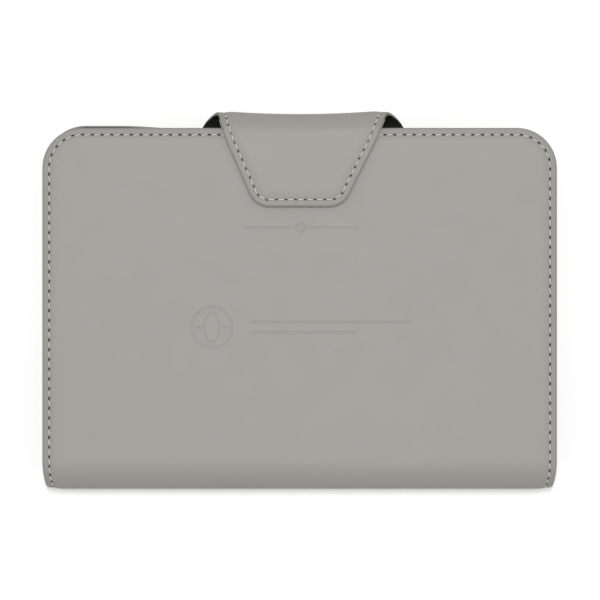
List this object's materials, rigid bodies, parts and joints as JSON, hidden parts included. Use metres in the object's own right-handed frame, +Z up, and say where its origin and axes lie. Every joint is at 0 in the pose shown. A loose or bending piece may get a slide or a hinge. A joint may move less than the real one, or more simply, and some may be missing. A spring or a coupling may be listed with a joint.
{
  "type": "passport holder wallet",
  "caption": "Landscape imitation-leather passport holder wallet with a soft spine, inside pockets and a magnetic strap tab over its opening edge.",
  "frame": {"origin": "middle of the bottom of the bounding box, on the padded face of the back cover", "axes": "+X along the spine, +Y from the spine to the opening edge where the strap is, +Z up through the closed stack"},
  "size_m": [0.148, 0.108, 0.0187],
  "materials": {
    "cover_leather": "matte fine-grained grey imitation leather",
    "strap_leather": "matte fine-grained grey imitation leather",
    "strap_lining": "dark thin lining leather with a pale cut edge",
    "lining_cloth": "dark fine woven lining",
    "pocket_leather": "thin grey imitation leather",
    "board": "brown paperboard",
    "foam": "thin white foam",
    "core_plastic": "black sheet plastic",
    "magnet_metal": "plated magnet",
    "thread": "light grey sewing thread"
  },
  "bodies": {
    "back_cover": {"back_cover_skin": "cover_leather", "back_cover_foam": "foam", "back_cover_board": "board", "back_cover_lining": "lining_cloth", "strap_tongue": "strap_lining", "spine_skin_1": "cover_leather", "spine_lining_1": "lining_cloth", "passport_pocket_gusset_left": "pocket_leather", "passport_pocket_gusset_right": "pocket_leather", "passport_pocket_gusset_end": "pocket_leather", "passport_pocket_panel": "pocket_leather"},
    "spine_strip_lower": {"spine_skin_2": "cover_leather", "spine_lining_2": "lining_cloth"},
    "spine_strip_upper": {"spine_skin_3": "cover_leather", "spine_lining_3": "lining_cloth"},
    "front_cover": {"front_cover_skin": "cover_leather", "front_cover_foam": "foam", "front_cover_board": "board", "front_cover_lining": "lining_cloth", "front_magnet": "magnet_metal", "spine_skin_4": "cover_leather", "spine_lining_4": "lining_cloth", "slip_pocket_panel": "pocket_leather", "card_slot_panel_1": "pocket_leather", "card_slot_panel_2": "pocket_leather", "card_slot_panel_3": "pocket_leather"},
    "strap_lower": {"strap_lower_skin": "strap_leather", "strap_lower_lining": "strap_lining"},
    "strap_upper": {"strap_upper_skin": "strap_leather", "strap_upper_lining": "strap_lining"},
    "strap_tab": {"strap_tab_skin": "strap_leather", "strap_tab_core": "core_plastic", "strap_tab_magnet": "magnet_metal", "strap_tab_lining": "strap_lining"}
  },
  "joints": [
    {"name": "spine_lower_bend", "type": "hinge", "parent": "back_cover", "child": "spine_strip_lower", "pos_m": [0, -0.05005, 0.00107], "axis": [1, 0, 0], "range_deg": [0, 60]},
    {"name": "spine_middle_bend", "type": "hinge", "parent": "spine_strip_lower", "child": "spine_strip_upper", "pos_m": [0, -0.05405, 0.008], "axis": [1, 0, 0], "range_deg": [0, 60]},
    {"name": "spine_upper_bend", "type": "hinge", "parent": "spine_strip_upper", "child": "front_cover", "pos_m": [0, -0.05005, 0.01493], "axis": [1, 0, 0], "range_deg": [0, 60]},
    {"name": "strap_base_bend", "type": "hinge", "parent": "back_cover", "child": "strap_lower", "pos_m": [0, 0.0497, 0.0013], "axis": [-1, 0, 0], "range_deg": [0, 54]},
    {"name": "strap_crest_bend", "type": "hinge", "parent": "strap_lower", "child": "strap_upper", "pos_m": [0, 0.05405, 0.01], "axis": [-1, 0, 0], "range_deg": [0, 63]},
    {"name": "strap_fold_bend", "type": "hinge", "parent": "strap_upper", "child": "strap_tab", "pos_m": [0, 0.04855, 0.0187], "axis": [-1, 0, 0], "range_deg": [0, 63]}
  ]
}
